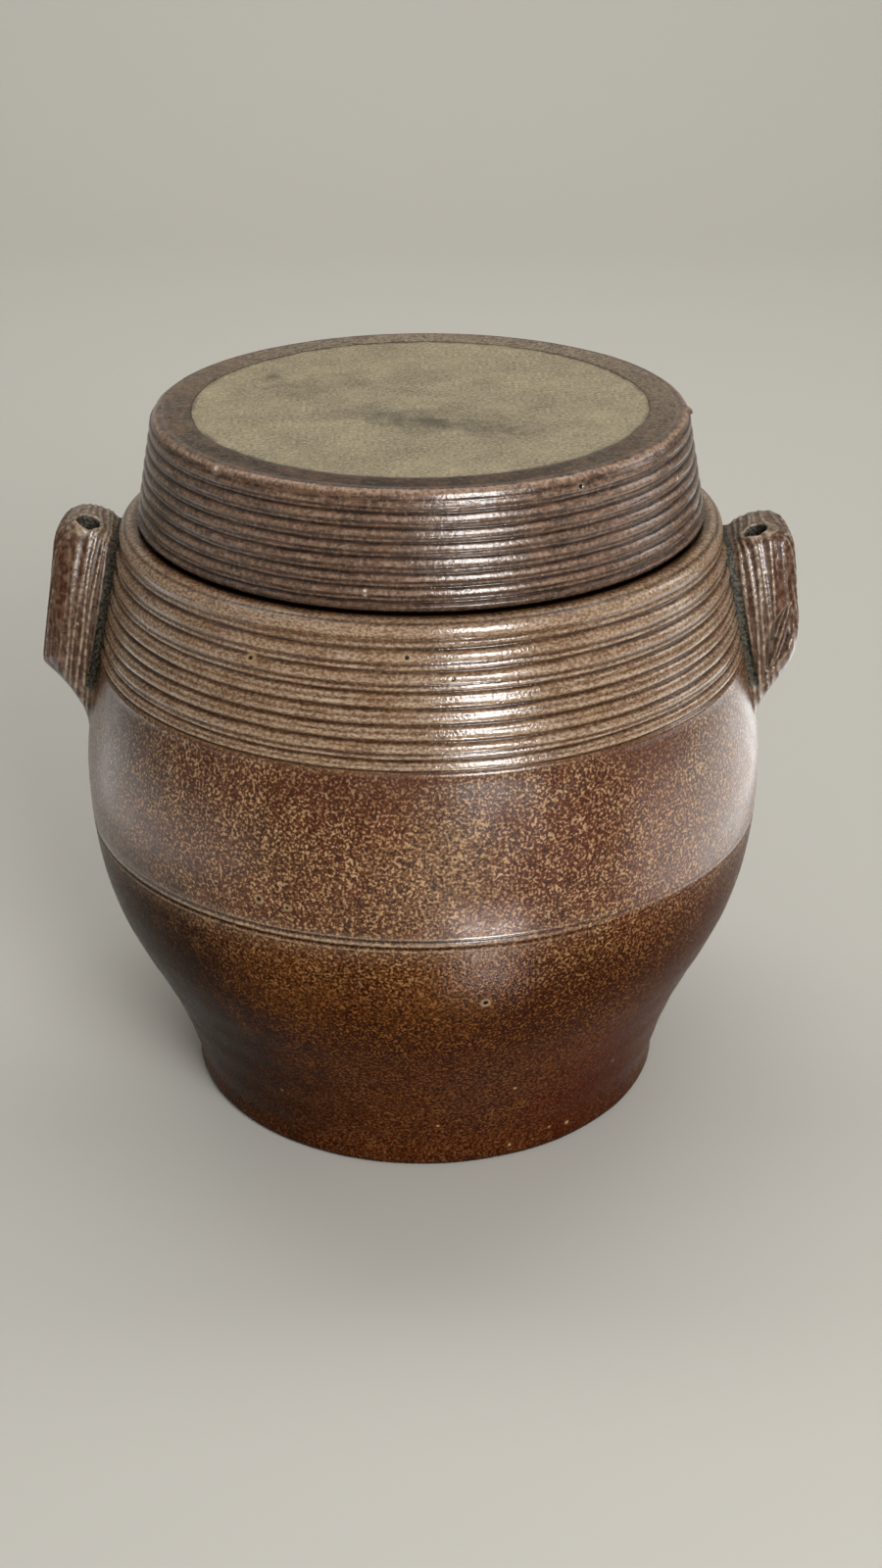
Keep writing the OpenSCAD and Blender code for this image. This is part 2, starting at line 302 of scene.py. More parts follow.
def skirt_r(z):
    """Radius of the lid's outer face at a height."""
    return LID_TOP_R + (LID_FOOT_R - LID_TOP_R) * (LID_TOP_Z - z) / (LID_TOP_Z - LID_FOOT_Z)


def collar_r(z):
    """Radius of the collar at a height, with the lid's wall and its running gap round it."""
    return skirt_r(z) - LID_WALL - LID_FIT


def block(points, slot, pale=0.0, dark=0.0):
    """A stretch of a turned section: rings of radius and height, how pale the glaze breaks, and how dark,
    partly as painted shade.
    """
    r, z = (np.asarray(x, float) for x in points)
    shape = np.broadcast_shapes(r.shape, z.shape, (1, TURN), np.shape(pale), np.shape(dark))
    full = [np.broadcast_to(x, shape) for x in (r, z, pale, dark)]
    return full + [np.broadcast_to(slot, shape[0])]


def column(points):
    """A section's points as columns that spread round the turn."""
    return points[:, :1], points[:, 1:]


def ridge_rings(radius, creases, shapes, rise, seed):
    """Ridges up an outline between creases that wander a little round the turn."""
    last = len(creases) - 1
    line = [z + wander(seed + i, 1, 5, 0.25) + wander(seed + 50 + i, 9, 40, 0.1)
            for i, z in enumerate(creases)]
    line[0] = np.full(TURN, creases[0])
    line[last] = np.full(TURN, creases[last])
    slope = (radius(creases[0]) - radius(creases[last])) / (creases[last] - creases[0])
    out = np.array([1, slope]) / math.hypot(1, slope)
    blocks = []
    for i, shape in enumerate(shapes):
        t, tall, thin, pooled_and_shade = (np.array(x)[:, None] for x in zip(*shape))
        z = line[i] * (1 - t) + line[i + 1] * t
        swell = rise * (1 + wander(seed + 100 + i, 2, 9, 0.2)) * (tall - 1)
        streaks = np.array([wander(seed + 300 + 20 * i + k, 9, 60, 0.09) for k in range(len(t))])
        streaks = np.sin(math.pi * t) * streaks
        swell = np.minimum(swell + streaks, 0)
        pale = thin * (0.8 + wander(seed + 200 + i, 6, 50, 0.5)) + 2.5 * np.clip(streaks, 0, 1)
        # Pooled glaze and painted shade in the creases and dips
        dark = pooled_and_shade * (0.85 + wander(seed + 250 + i, 4, 30, 0.3))
        blocks.append(block((radius(z) + out[0] * swell, z + out[1] * swell), OUTSIDE, pale, dark))
    return blocks


def turned(name, blocks, slots):
    """A closed turned mesh from blocks of rings that start and end on the axis."""
    r, z, pale, dark = (np.vstack([b[k] for b in blocks]) for k in range(4))
    slot = np.concatenate([b[4] for b in blocks])
    points = np.dstack([r * np.sin(theta), -r * np.cos(theta), z]).reshape(-1, 3)
    rings = len(r)
    here = np.arange(TURN)
    then = (here + 1) % TURN
    faces = []
    for i in range(rings - 1):
        a, b = i * TURN, (i + 1) * TURN
        faces.append(np.column_stack([a + here, a + then, b + then, b + here]))
    faces = np.vstack(faces)
    mesh = mesh_of(name, points, faces, pale.ravel(), dark.ravel())
    mesh.polygons.foreach_set("material_index", np.repeat(slot[:-1], TURN).astype(np.int32))
    for material in slots:
        mesh.materials.append(material)
    return linked(name, mesh)


def mesh_of(name, points, faces, pale, dark):
    """A smooth mesh in metres, with how the glaze breaks and the painted shade stored on its points."""
    mesh = bpy.data.meshes.new(name)
    mesh.from_pydata((points * MM).tolist(), [], faces.tolist())
    for key, values in (("pale", pale), ("dark", dark)):
        store = mesh.attributes.new(key, "FLOAT", "POINT")
        store.data.foreach_set("value", np.clip(values, 0, 1).astype(np.float32))
    mesh.polygons.foreach_set("use_smooth", np.ones(len(faces), bool))
    return mesh


def linked(name, mesh):
    """An object of a mesh, put into the scene."""
    piece = bpy.data.objects.new(name, mesh)
    bpy.context.scene.collection.objects.link(piece)
    return piece


# Materials


def linear(code):
    """An sRGB hex colour as linear red, green, blue and alpha."""
    parts = [int(code[i:i + 2], 16) / 255 for i in (1, 3, 5)]
    return [c / 12.92 if c <= 0.04045 else ((c + 0.055) / 1.055) ** 2.4 for c in parts] + [1.0]


def per_mm(size):
    """Scale of a pattern whose features are a number of millimetres apart."""
    return 1 / (size * MM)


def add(tree, kind, inputs, output=0, **settings):
    """Adds a shader node, sets what it is, sets or links its inputs, and gives one of its outputs."""
    made = tree.nodes.new("ShaderNode" + kind)
    for key, value in settings.items():
        setattr(made, key, value)
    for key, value in inputs.items():
        if isinstance(value, bpy.types.NodeSocket):
            tree.links.new(value, made.inputs[key])
        else:
            made.inputs[key].default_value = value
    return made.outputs[output] if made.outputs else made


# Settings of a node that mixes colours, with its share at 0 and its colours at 6 and 7, and of a range with
# soft ends
BLEND = {"output": 2, "data_type": "RGBA"}
SOFT = {"interpolation_type": "SMOOTHSTEP"}


def new_material(name):
    """A material with an empty node tree."""
    material = bpy.data.materials.new(name)
    material.use_nodes = True
    material.node_tree.nodes.clear()
    return material, material.node_tree


def close(tree, base, rough, bump, strength, size, gloss=0.5):
    """Ends a material: colour, roughness and relief on one shader, with an even gloss set on it."""
    relief = add(tree, "Bump", {"Strength": strength, "Distance": size * MM, "Height": bump})
    shader = add(tree, "BsdfPrincipled", {"Base Color": base, "Roughness": rough, "Normal": relief,
                                          "IOR": FIRED_IOR, "Specular IOR Level": gloss})
    add(tree, "OutputMaterial", {"Surface": shader})


def from_spot(tree, place, angle, z, radius_at):
    """Distance from a spot on a turned face, given by its degrees round from the front and its height."""
    a = math.radians(angle)
    r = float(radius_at(np.array(z)))
    spot = (r * math.sin(a) * MM, -r * math.cos(a) * MM, z * MM)
    return add(tree, "VectorMath", {0: place, 1: spot}, "Value", operation="DISTANCE")


def spotted(tree, place, colour, height, spots, radius_at, rim, core):
    """Pits and specks at stated places: a rim round a core, in the colour and in the relief."""
    for angle, z, radius in spots:
        away = from_spot(tree, place, angle, z, radius_at)
        edge = add(tree, "MapRange", {"Value": away, "From Min": RIM_OUT * radius * MM,
                                      "From Max": RIM_IN * radius * MM, "To Max": 0.7}, **SOFT)
        hole = add(tree, "MapRange", {"Value": away, "From Min": RIM_IN * radius * MM,
                                      "From Max": CORE * radius * MM}, **SOFT)
        for share, tint in ((edge, rim), (hole, core)):
            colour = add(tree, "Mix", {0: share, 6: colour, 7: linear(tint)}, **BLEND)
        height = add(tree, "Math", {0: height, 1: hole}, operation="SUBTRACT")
    return colour, height


def flashed_and_shaded(tree, place, colour, ragged, flashes):
    """Patches of another brown with ragged edges: flashes where flame licked the glaze, and painted light
    and shade.
    """
    for angle, z, radius, tint, most in flashes:
        away = from_spot(tree, place, angle, z, outer_r)
        away = add(tree, "Math", {0: ragged, 1: FLASH_RAG * radius * MM, 2: away}, operation="MULTIPLY_ADD")
        share = add(tree, "MapRange", {"Value": away, "From Min": FLASH_OUT * radius * MM,
                                       "From Max": FLASH_IN * radius * MM, "To Max": most}, **SOFT)
        colour = add(tree, "Mix", {0: share, 6: colour, 7: linear(tint)}, **BLEND)
    return colour


def salt_glaze_pot(name, gloss, beading):
    """Salt-glazed stoneware: an orange peel of beaded glaze, pale where thin, dark where it pools and where
    shade is painted.
    """
    material, tree = new_material(name)
    place = add(tree, "TexCoord", {}, "Object")
    height = add(tree, "SeparateXYZ", {0: place}, "Z")
    pale, dark = (add(tree, "Attribute", {}, "Fac", attribute_name=key) for key in ("pale", "dark"))
    # The beads of the peel are just under a millimetre apart, as on real ware
    peel = add(tree, "TexNoise", {"Vector": place, "Scale": per_mm(0.85), "Detail": 1.0, "Roughness": 0.5,
                                  "Distortion": 0.35})
    cloud = add(tree, "TexNoise", {"Vector": place, "Scale": per_mm(7), "Detail": 2.0})
    patch = add(tree, "TexNoise", {"Vector": place, "Scale": per_mm(34), "Detail": 2.0})
    drawn = add(tree, "Mapping", {"Vector": place, "Scale": (1, 1, 16)})
    streak = add(tree, "TexNoise", {"Vector": drawn, "Scale": per_mm(9), "Detail": 3.0})
    # Heights at which the fire and the vapour left the glaze another colour
    upper, foot, under = (
        add(tree, "MapRange", {"Value": height, "From Min": start * MM, "From Max": end * MM},
            **SOFT) for start, end in (UPPER_GLAZE, FOOT_GLAZE, UNDER_RIDGES))
    start, end = RIDGED
    ridged = add(tree, "MapRange", {"Value": height, "From Min": start * MM, "From Max": end * MM})
    red = add(tree, "MapRange", {"Value": patch, "From Min": 0.38, "From Max": 0.62})
    ground = add(tree, "Mix", {0: red, 6: linear("#563419"), 7: linear("#5e2f10")}, **BLEND)
    low = add(tree, "Mix", {0: foot, 6: linear("#351606"), 7: linear("#46200b")}, **BLEND)
    ground = add(tree, "Mix", {0: upper, 6: low, 7: ground}, **BLEND)
    # Flashes, with painted shade low on the sides and painted light in front
    colour = flashed_and_shaded(tree, place, ground, cloud, FLASHES_AND_PAINTED_LIGHT)
    # Each bead is a pale fleck, fewer towards the foot, and dark glaze pools between the beads
    light = add(tree, "Mix", {0: upper, 6: linear("#825227"), 7: linear("#b8936b")}, **BLEND)
    fleck = add(tree, "MapRange", {"Value": peel, "From Min": 0.5, "From Max": 0.68}, **SOFT)
    some = add(tree, "MapRange", {"Value": cloud, "From Min": 0.3, "From Max": 0.7, "To Min": 0.5})
    fewer = add(tree, "MapRange", {"Value": foot, "To Min": 1.0, "To Max": 0.55})
    for share in (some, fewer):
        fleck = add(tree, "Math", {0: fleck, 1: share}, operation="MULTIPLY")
    pool = add(tree, "MapRange", {"Value": peel, "From Min": 0.48, "From Max": 0.34, "To Max": 0.9},
               **SOFT)
    # Grains of grog show where the glaze is thin: about half a millimetre, drawn coarser so that they show
    drawn = add(tree, "Mapping", {"Vector": place, "Scale": (1, 1, 1.7)})
    dash = add(tree, "TexNoise", {"Vector": drawn, "Scale": per_mm(1.1), "Detail": 2.0})
    grain = add(tree, "MapRange", {"Value": dash, "From Min": 0.58, "From Max": 0.66})
    for share in (foot, 0.5):
        grain = add(tree, "Math", {0: grain, 1: share}, operation="MULTIPLY")
    for share, tint in ((fleck, light), (pool, linear("#261005")), (grain, linear("#8c6242"))):
        colour = add(tree, "Mix", {0: share, 6: colour, 7: tint}, **BLEND)
    # Painted shade low on the sides, laid over the flecks
    colour = flashed_and_shaded(tree, place, colour, cloud, PAINTED_SIDE_SHADE)
    # On the turned ridges the glaze runs in streaks along the turn instead of beading
    banded = add(tree, "MapRange", {"Value": streak, "From Min": 0.36, "From Max": 0.64})
    bands = add(tree, "Mix", {0: banded, 6: linear("#5c3a20"), 7: linear("#84613f")}, **BLEND)
    for end, most, tint in ((0.68, 0.45, "#b09a84"), (0.32, 0.6, "#4a2a14")):
        grain = add(tree, "MapRange", {"Value": dash, "From Min": 0.5, "From Max": end, "To Max": most})
        bands = add(tree, "Mix", {0: grain, 6: bands, 7: linear(tint)}, **BLEND)
    for share in (red, 0.65):
        under = add(tree, "Math", {0: under, 1: share}, operation="MULTIPLY")
    part = add(tree, "MapRange", {"Value": dash, "From Min": 0.36, "From Max": 0.6, "To Min": 0.3})
    broken = add(tree, "Math", {0: pale, 1: part}, operation="MULTIPLY")
    # The stored dark share is painted shade under the lid's foot and round the foot's bottom edge, pooled
    # glaze and painted shade in the ridges' creases and dips and the lip's notch, and darkens the incised
    # lines
    for share, tint in ((under, linear("#45200f")), (ridged, bands), (broken, linear("#bba68f")),
                        (dark, linear("#1a0e07"))):
        colour = add(tree, "Mix", {0: share, 6: colour, 7: tint}, **BLEND)
    deeper = add(tree, "MapRange", {"Value": ridged, "To Min": 1.0, "To Max": 1.7})
    relief = add(tree, "Math", {0: peel, 1: deeper}, operation="MULTIPLY")
    colour, relief = spotted(tree, place, colour, relief, POT_PITS, outer_r, "#a98a66", "#120a06")
    colour, relief = spotted(tree, place, colour, relief, POT_SPECKS, outer_r, "#5c3a1e", "#a3825c")
    rough = add(tree, "MapRange", {"Value": cloud, "From Min": 0.3, "From Max": 0.7, "To Min": 0.23,
                                   "To Max": 0.33})
    rough = add(tree, "Math", {0: ridged, 1: -0.08, 2: rough}, operation="MULTIPLY_ADD")
    close(tree, colour, rough, relief, beading, 0.5, gloss)
    return material


def salt_glaze_lid(name, gloss, crest):
    """Salt glaze with less vapour: darker, purple-brown and streaked, thin and pale on each crest."""
    material, tree = new_material(name)
    place = add(tree, "TexCoord", {}, "Object")
    pale, dark = (add(tree, "Attribute", {}, "Fac", attribute_name=key) for key in ("pale", "dark"))
    drawn = add(tree, "Mapping", {"Vector": place, "Scale": (1, 1, 9)})
    streak = add(tree, "TexNoise", {"Vector": drawn, "Scale": per_mm(6), "Detail": 3.0})
    peel = add(tree, "TexNoise", {"Vector": place, "Scale": per_mm(1.3), "Detail": 2.0, "Roughness": 0.6,
                                  "Distortion": 0.4})
    patch = add(tree, "TexNoise", {"Vector": place, "Scale": per_mm(26), "Detail": 3.0})
    tone = add(tree, "MapRange", {"Value": patch, "From Min": 0.35, "From Max": 0.65})
    colour = add(tree, "Mix", {0: tone, 6: linear("#2a211a"), 7: linear("#402a1f")}, **BLEND)
    run = add(tree, "MapRange", {"Value": streak, "From Min": 0.4, "From Max": 0.66, "To Max": 0.6})
    fleck = add(tree, "MapRange", {"Value": peel, "From Min": 0.48, "From Max": 0.68, "To Max": 0.45},
                **SOFT)
    part = add(tree, "MapRange", {"Value": peel, "From Min": 0.38, "From Max": 0.6, "To Min": 0.25,
                                  "To Max": 0.85})
    broken = add(tree, "Math", {0: pale, 1: part}, operation="MULTIPLY")
    # The stored dark share is pooled glaze and painted shade in the creases, painted shade under the
    # skirt's rounded foot, and the thicker glaze of the top ring
    for share, tint in ((run, "#7b5943"), (fleck, "#866c59"), (broken, crest), (dark, "#120b08")):
        colour = add(tree, "Mix", {0: share, 6: colour, 7: linear(tint)}, **BLEND)
    rough = add(tree, "MapRange", {"Value": patch, "From Min": 0.3, "From Max": 0.7, "To Min": 0.18,
                                   "To Max": 0.3})
    colour, relief = spotted(tree, place, colour, peel, LID_PITS, skirt_r, "#7d6a5a", "#0d0806")
    colour, relief = spotted(tree, place, colour, relief, LID_SPECKS, skirt_r, "#8a7462", "#cdb9a2")
    close(tree, colour, rough, relief, 0.4, 0.4, gloss)
    return material


def bare_disc():
    """Unglazed stoneware where the lid stood covered in the kiln: matt, olive-tan, stained by use."""
    material, tree = new_material("bare_stoneware_disc")
    place = add(tree, "TexCoord", {}, "Object")
    # Grit of about half a millimetre, drawn at twice that so that it shows
    grit = add(tree, "TexNoise", {"Vector": place, "Scale": per_mm(1.1), "Detail": 3.0, "Roughness": 0.7})
    cloud = add(tree, "TexNoise", {"Vector": place, "Scale": per_mm(17), "Detail": 6.0, "Roughness": 0.75})
    stain = add(tree, "Attribute", {}, "Fac", attribute_name="dark")
    tone = add(tree, "MapRange", {"Value": cloud, "From Min": 0.32, "From Max": 0.68})
    colour = add(tree, "Mix", {0: tone, 6: linear("#82755b"), 7: linear("#a99b7b")}, **BLEND)
    for end, tint in ((0.68, "#c4b697"), (0.32, "#544835")):
        grain = add(tree, "MapRange", {"Value": grit, "From Min": 0.5, "From Max": end, "To Max": 0.65})
        colour = add(tree, "Mix", {0: grain, 6: colour, 7: linear(tint)}, **BLEND)
    spoil = add(tree, "MapRange", {"Value": cloud, "From Min": 0.62, "From Max": 0.38, "To Min": 0.1})
    spoil = add(tree, "Math", {0: stain, 1: spoil}, operation="MULTIPLY")
    colour = add(tree, "Mix", {0: spoil, 6: colour, 7: linear("#2f2a20")}, **BLEND)
    rough = add(tree, "MapRange", {"Value": grit, "To Min": 0.7, "To Max": 0.95})
    close(tree, colour, rough, grit, 0.4, 0.3)
    return material


def ear_glaze():
    """Salt glaze on pulled clay: glossy red-brown, pale along the ribs, gritty and grey in the furrow,
    where dark grit is also painted shade.
    """
    material, tree = new_material("salt_glazed_stoneware_ear")
    place = add(tree, "TexCoord", {}, "Object")
    pale, dark = (add(tree, "Attribute", {}, "Fac", attribute_name=key) for key in ("pale", "dark"))
    peel = add(tree, "TexNoise", {"Vector": place, "Scale": per_mm(1.8), "Detail": 3.0, "Distortion": 0.4})
    patch = add(tree, "TexNoise", {"Vector": place, "Scale": per_mm(14), "Detail": 3.0})
    colour = add(tree, "Mix", {0: patch, 6: linear("#2a1108"), 7: linear("#52301e")}, **BLEND)
    # Glaze ran down the pulled clay in streaks, which break the pale lines of the ribs
    drawn = add(tree, "Mapping", {"Vector": place, "Scale": (1, 1, 0.25)})
    streak = add(tree, "TexNoise", {"Vector": drawn, "Scale": per_mm(1.3), "Detail": 3.0})
    run = add(tree, "MapRange", {"Value": streak, "From Min": 0.44, "From Max": 0.66, "To Max": 0.55})
    fleck = add(tree, "MapRange", {"Value": peel, "From Min": 0.48, "From Max": 0.66, "To Max": 0.3})
    part = add(tree, "MapRange", {"Value": peel, "From Min": 0.38, "From Max": 0.62, "To Min": 0.2,
                                  "To Max": 0.85})
    broken = add(tree, "Math", {0: pale, 1: part}, operation="MULTIPLY")
    # Sand of about half a millimetre in the furrow, drawn coarser so that it shows
    sand = add(tree, "TexNoise", {"Vector": place, "Scale": per_mm(0.9), "Detail": 1.0})
    sand = add(tree, "MapRange", {"Value": sand, "From Min": 0.4, "From Max": 0.66})
    # Its darkest tone is painted shade in the furrows, and the same colour paints the shade in the hole,
    # the grooves beside the ribs and the gash
    grit = add(tree, "Mix", {0: sand, 6: linear("#0d0b06"), 7: linear("#534c3a")}, **BLEND)
    for share, tint in ((run, linear("#7a5d48")), (fleck, linear("#9a7f6c")), (broken, linear("#b8a58e")),
                        (dark, grit)):
        colour = add(tree, "Mix", {0: share, 6: colour, 7: tint}, **BLEND)
    rough = add(tree, "MapRange", {"Value": dark, "To Min": 0.2, "To Max": 0.7})
    close(tree, colour, rough, peel, 0.4, 0.4, 0.25)
    return material


def inner_glaze():
    """The inside: a poured brown slip glaze, smooth and shiny, with faint throwing rings."""
    material, tree = new_material("slip_glazed_stoneware_inside")
    place = add(tree, "TexCoord", {}, "Object")
    drawn = add(tree, "Mapping", {"Vector": place, "Scale": (1, 1, 5)})
    rings = add(tree, "TexNoise", {"Vector": drawn, "Scale": per_mm(24), "Detail": 4.0})
    colour = add(tree, "Mix", {0: rings, 6: linear("#3d2415"), 7: linear("#6e4a2c")}, **BLEND)
    rough = add(tree, "MapRange", {"Value": rings, "To Min": 0.2, "To Max": 0.4})
    close(tree, colour, rough, rings, 0.3, 0.6)
    return material


def bare_clay():
    """Unglazed stoneware on the faces that sat on other ware: dry, buff-grey, sandy."""
    material, tree = new_material("bare_stoneware_seat")
    place = add(tree, "TexCoord", {}, "Object")
    # Sand of about half a millimetre, drawn at twice that so that it shows
    sand = add(tree, "TexNoise", {"Vector": place, "Scale": per_mm(1.0), "Detail": 4.0, "Roughness": 0.7})
    cloud = add(tree, "TexNoise", {"Vector": place, "Scale": per_mm(22), "Detail": 3.0})
    colour = add(tree, "Mix", {0: cloud, 6: linear("#6e5a44"), 7: linear("#8f7c62")}, **BLEND)
    grain = add(tree, "MapRange", {"Value": sand, "From Min": 0.5, "From Max": 0.75, "To Max": 0.5})
    colour = add(tree, "Mix", {0: grain, 6: colour, 7: linear("#4a3a2c")}, **BLEND)
    rough = add(tree, "MapRange", {"Value": sand, "To Min": 0.75, "To Max": 0.98})
    close(tree, colour, rough, sand, 0.4, 0.35)
    return material


def pot_blocks():
    """The pot's section: underside, foot, wall with two incised lines, ridges, collar and inside."""
    under_r = np.linspace(0, FOOT_R - FOOT_EDGE, 14)[:, None]
    under_z = UNDER_RISE * np.sin(under_r / UNDER_STEP * math.pi) ** 2 * (under_r < FOOT_R - STAND_W)
    blocks = [block((under_r, under_z), BARE)]
    foot = arc((FOOT_R - FOOT_EDGE, FOOT_EDGE), FOOT_EDGE, -75, 0, 6)
    # Painted contact shadow: the foot's edge is darkest where it meets the floor
    contact_shade = np.linspace(1, 0.2, 6)[:, None]
    foot_r = foot[:, :1] - np.abs(wander(3, 3, 14, FOOT_WEAR))
    blocks.append(block((foot_r, foot[:, 1:]), POT_LOW, 0, contact_shade))
    # The wall, with finer rings at the two incised lines
    belts = [sign * BELT_GAP / 2 + off for sign in (-1, 1) for off in np.linspace(-BELT_FINE, BELT_FINE, 7)]
    level = np.concatenate([np.arange(FOOT_H + 1, BELT_Z - 6, WALL_STEP), BELT_Z + np.array(sorted(belts)),
                            np.arange(BELT_Z + 5, SHOULDER_Z - 1, WALL_STEP), [SHOULDER_Z]])[:, None]
    near_belt = np.exp(-((level - BELT_Z) / BELT_BLEND) ** 2)
    z = level + near_belt * BELT_TILT * np.cos(theta)
    from_belt = level - BELT_Z
    fade = np.interp(np.degrees(theta), *zip(*BELT_SHOWS))
    from_lines = [from_belt - s * BELT_GAP / 2 for s in (-1, 1)]
    groove = sum(np.exp(-(away / (BELT_HALF / 2)) ** 2) for away in from_lines)
    burr = sum(np.exp(-((np.abs(away) - BURR_OFF) / BURR_HALF) ** 2) for away in from_lines)
    up = np.clip((z - FOOT_H) / (SHOULDER_Z - FOOT_H), 0, 1)
    swell = wander(11, 2, 4, WALL_WOBBLE) * np.sin(math.pi * up)
    rings = np.sin(z / RING_STEP * 2 * math.pi + wander(12, 1, 3, 1.0))
    swell = swell + RING_RISE * rings * np.clip((RINGS_END - z) / RINGS_FADE, 0, 1)
    swell = swell - WALL_WOBBLE
    r = outer_r(z) + swell - fade * BELT_DEPTH * groove + fade * BURR_RISE * burr
    r[-1] = outer_r(np.array(SHOULDER_Z))
    z[-1] = SHOULDER_Z
    slot = np.where(level[:, 0] < BELT_Z, POT_LOW, OUTSIDE)
    blocks.append(block((r, z), slot, 0.55 * fade * burr, fade * groove))
    blocks += ridge_rings(shoulder_r, POT_CREASES, POT_RIDGES, POT_RISE, 300)
    lip = arc((shoulder_r(LIP_Z - LIP_R) - LIP_R, LIP_Z - LIP_R), LIP_R, 0, 90, 12)
    notch = np.exp(-((np.linspace(0, 90, 12)[:, None] - NOTCH_AT) / NOTCH_HALF) ** 2)
    lip = lip - NOTCH_DEPTH * notch
    # The lip's glaze is pale, and darker in the notch: pooled glaze and painted shade
    blocks.append(block(column(lip), OUTSIDE, 0.5 * (1 - notch), 0.5 * notch))
    # Painted shade in the gap under the lid's foot: the land darkens inwards and the seat is dark all over
    land = np.linspace([LID_FOOT_R + 1.4, LIP_Z + 0.1], [LID_FOOT_R - 0.8, LIP_Z + 0.2], 4)
    blocks.append(block(column(land), OUTSIDE, 0, np.array([[0.1], [0.35], [0.8], [1.0]])))
    seat = np.array([[LID_FOOT_R - 1.6, LEDGE_Z + 0.3], [collar_r(LEDGE_Z) + 1.0, LEDGE_Z],
                     [collar_r(LEDGE_Z), LEDGE_Z + 1.0]])
    blocks.append(block(column(seat), OUTSIDE, 0, 1.0))
    rim_r = collar_r(RIM_Z)
    rim = np.vstack([arc((rim_r - RIM_EDGE, RIM_Z - RIM_EDGE), RIM_EDGE, 0, 90, 6),
                     arc((rim_r - COLLAR_WALL + RIM_EDGE, RIM_Z - RIM_EDGE), RIM_EDGE, 90, 180, 6)])
    blocks.append(block(column(rim), BARE))
    roof_z = LEDGE_Z - LEDGE_T
    neck = np.array([[collar_r(LEDGE_Z) - COLLAR_WALL, LEDGE_Z],
                     [SHOULDER_R - WALL + LEDGE_T * LEAN_TAN, roof_z]])
    neck = cubic([neck[0], neck[0] - [0, 5], neck[1] + [0, 6], neck[1]], 6)
    blocks.append(block(column(neck), POT_IN))
    inner = wall_line(WALL, 16)
    inner = inner[inner[:, 1] > FLOOR_T + 2 * FLOOR_FILLET][::-1]
    blocks.append(block(column(inner), POT_IN))
    corner = arc((FOOT_R - WALL - FLOOR_FILLET, FLOOR_T + FLOOR_FILLET), FLOOR_FILLET, -30, -90, 8)
    blocks.append(block(column(corner), POT_IN))
    floor_r = np.linspace(FOOT_R - WALL - FLOOR_FILLET - 6, 0, 9)[:, None]
    blocks.append(block((floor_r, FLOOR_T + FLOOR_WAVE * np.sin(floor_r / 7) ** 2), POT_IN))
    return blocks


def lid_blocks():
    """The lid's section: hollow, skirt, ridged outside, glazed ring and the bare disc on top."""
    in_r = skirt_r(RIM_Z) - LID_WALL
    foot_in_r = LID_FOOT_R - LID_WALL
    under_r = np.linspace(0, in_r - 4, 12)[:, None]
    blocks = [block((under_r, RIM_Z + FLOOR_WAVE * np.sin(under_r / 8) ** 2), BARE)]
    corner = cubic([(in_r - 3, RIM_Z), (in_r - 0.5, RIM_Z), (in_r, RIM_Z - 1), (in_r + 0.7, RIM_Z - 4)], 6)
    blocks.append(block(column(corner), BARE))
    skirt = np.linspace([in_r + 1.2, RIM_Z - 7], [foot_in_r - 0.3, LID_FOOT_Z + 1.5], 5)
    blocks.append(block(column(skirt), BARE))
    foot = np.vstack([[foot_in_r + 1.0, LID_FOOT_Z], [foot_in_r + 3.0, LID_FOOT_Z]])
    blocks.append(block(column(foot), BARE))
    edge = arc((LID_FOOT_R - LID_EDGE, LID_FOOT_Z + LID_EDGE), LID_EDGE, -90, 0, 6)
    # The lid's rounded foot is a little darker: painted shade under its edge
    blocks.append(block(column(edge), OUTSIDE, 0.2, 0.3))
    blocks += ridge_rings(skirt_r, LID_CREASES, LID_RIDGES, LID_RISE, 600)
    top = arc((LID_TOP_R - LID_EDGE, LID_TOP_Z - LID_EDGE), LID_EDGE, 0, 90, 8)
    turn = np.degrees(theta)
    lumps = np.clip(wander(29, 40, 90, LUMPS_RISE), 0, 1)
    lumps = lumps * np.clip(LUMPS_HALF - np.abs(turn - LUMPS_AT), 0, 3) / 3
    lumps = lumps + KNOB_RISE * np.exp(-((turn - KNOB_AT) / KNOB_HALF) ** 2)
    top_r = top[:, :1] - np.abs(wander(21, 3, 20, 0.3)) + lumps
    crest = np.exp(-((np.linspace(0, 1, 8)[:, None] - 0.55) / 0.25) ** 2)
    blocks.append(block((top_r, top[:, 1:]), OUTSIDE, crest))
    ring_r = np.linspace(LID_TOP_R - LID_EDGE - 1.5, DISC_R + 0.7, 6)[:, None]
    thin = np.interp(turn, *zip(*RING_THIN))
    blocks.append(block((ring_r, LID_TOP_Z - 0.15), LID_RING, thin, 0.35 * (1 - thin)))
    step = [[DISC_R + 0.2 + wander(23, 2, 30, 0.3)], [DISC_R - 0.3 + wander(23, 2, 30, 0.3)]]
    step_z = [[LID_TOP_Z - 0.3], [LID_TOP_Z - DISC_STEP]]
    blocks.append(block((np.vstack(step), step_z), LID_DISC, 0, 0.8))
    disc_r = np.linspace(DISC_R - 1.2, 0, 40)[:, None]
    x, y = disc_r * np.sin(theta), -disc_r * np.cos(theta)
    stain = sum(depth * np.exp(-((x - px) / sx) ** 2 - ((y - py) / sy) ** 2)
                for px, py, sx, sy, depth in STAINS)
    disc_z = LID_TOP_Z - DISC_STEP - DISC_DISH * np.cos(disc_r / DISC_R * math.pi / 2)
    blocks.append(block((disc_r, disc_z), LID_DISC, 0, stain))
    return blocks


def smooth_max(a, b, blend):
    """The larger of two distances, rounded over a blend in millimetres where they meet."""
    return np.maximum(a, b) + np.maximum(blend - np.abs(a - b), 0) ** 2 / (4 * blend)


def smooth_min(a, b, blend):
    """The smaller of two distances, rounded the same way."""
    return -smooth_max(-a, -b, blend)


